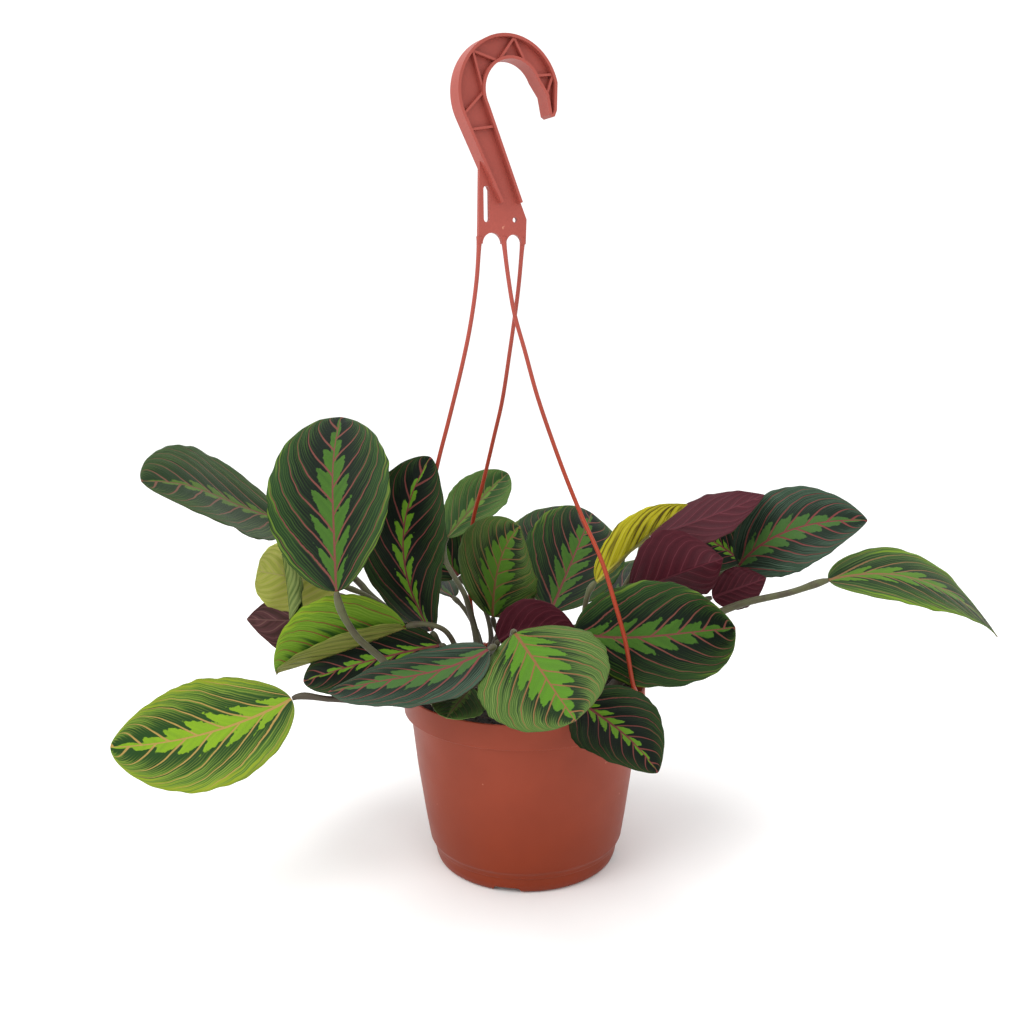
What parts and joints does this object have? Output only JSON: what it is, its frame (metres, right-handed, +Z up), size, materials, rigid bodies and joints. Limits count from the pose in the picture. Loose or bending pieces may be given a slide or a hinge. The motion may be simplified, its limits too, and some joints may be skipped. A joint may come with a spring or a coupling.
{
  "type": "potted prayer plant in a hanging pot",
  "caption": "Prayer plant with broad feather-marked leaves in a round plastic nursery pot, with a clip-on hook hanger standing above it.",
  "frame": {"origin": "centre of the underside of the pot, on the plane it stands on", "axes": "+Z up along the pot axis; -Y towards the side seen first, with the long low leaves to -X and +X"},
  "size_m": [0.5136, 0.3004, 0.4908],
  "materials": {
    "terracotta_plastic": "satin moulded",
    "potting_soil": "loose, matt",
    "hanger_plastic": "satin moulded",
    "green_stem": "matt, slightly downy",
    "leaf_back_centre": "soft waxy sheen",
    "leaf_back_high": "soft waxy sheen",
    "leaf_back_left": "soft waxy sheen",
    "leaf_back_left_low": "soft waxy sheen",
    "leaf_back_low": "soft waxy sheen",
    "leaf_back_purple": "soft waxy sheen",
    "leaf_back_right": "soft waxy sheen",
    "leaf_back_right_low": "soft waxy sheen",
    "leaf_centre_back": "soft waxy sheen",
    "leaf_centre_bright": "soft waxy sheen",
    "leaf_crimson": "soft waxy sheen",
    "leaf_far_left_low": "soft waxy sheen",
    "leaf_far_right": "soft waxy sheen",
    "leaf_folded_yellow": "soft waxy sheen",
    "leaf_front_centre": "soft waxy sheen",
    "leaf_front_left": "soft waxy sheen",
    "leaf_front_right": "soft waxy sheen",
    "leaf_high_left": "soft waxy sheen",
    "leaf_left_dark": "soft waxy sheen",
    "leaf_left_folded": "soft waxy sheen",
    "leaf_left_pale": "soft waxy sheen",
    "leaf_left_purple": "soft waxy sheen",
    "leaf_purple_folded": "soft waxy sheen",
    "leaf_purple_high": "soft waxy sheen",
    "leaf_right_behind": "soft waxy sheen",
    "leaf_right_folded": "soft waxy sheen",
    "leaf_right_high": "soft waxy sheen",
    "leaf_rim_right": "soft waxy sheen",
    "leaf_rim_small": "soft waxy sheen",
    "leaf_rolled_young": "soft waxy sheen",
    "leaf_small_back": "soft waxy sheen",
    "leaf_tall_dark": "soft waxy sheen",
    "leaf_tall_left": "soft waxy sheen"
  },
  "bodies": {
    "root": {"hanger": "hanger_plastic", "leaf_back_centre": "leaf_back_centre", "leaf_back_high": "leaf_back_high", "leaf_back_left": "leaf_back_left", "leaf_back_left_low": "leaf_back_left_low", "leaf_back_low": "leaf_back_low", "leaf_back_purple": "leaf_back_purple", "leaf_back_right": "leaf_back_right", "leaf_back_right_low": "leaf_back_right_low", "leaf_centre_back": "leaf_centre_back", "leaf_centre_bright": "leaf_centre_bright", "leaf_crimson": "leaf_crimson", "leaf_far_left_low": "leaf_far_left_low", "leaf_far_right": "leaf_far_right", "leaf_folded_yellow": "leaf_folded_yellow", "leaf_front_centre": "leaf_front_centre", "leaf_front_left": "leaf_front_left", "leaf_front_right": "leaf_front_right", "leaf_high_left": "leaf_high_left", "leaf_left_dark": "leaf_left_dark", "leaf_left_folded": "leaf_left_folded", "leaf_left_pale": "leaf_left_pale", "leaf_left_purple": "leaf_left_purple", "leaf_purple_folded": "leaf_purple_folded", "leaf_purple_high": "leaf_purple_high", "leaf_right_behind": "leaf_right_behind", "leaf_right_folded": "leaf_right_folded", "leaf_right_high": "leaf_right_high", "leaf_rim_right": "leaf_rim_right", "leaf_rim_small": "leaf_rim_small", "leaf_rolled_young": "leaf_rolled_young", "leaf_small_back": "leaf_small_back", "leaf_tall_dark": "leaf_tall_dark", "leaf_tall_left": "leaf_tall_left", "pot": "terracotta_plastic", "potting_soil": "potting_soil", "shoot_back_left": "green_stem", "shoot_back_right": "green_stem", "shoot_centre": "green_stem", "shoot_centre_left": "green_stem", "shoot_far_left": "green_stem", "shoot_far_right": "green_stem", "shoot_front": "green_stem", "shoot_left": "green_stem", "shoot_left_back": "green_stem", "shoot_right": "green_stem", "shoot_right_back": "green_stem", "shoot_tall_left": "green_stem"}
  },
  "joints": []
}
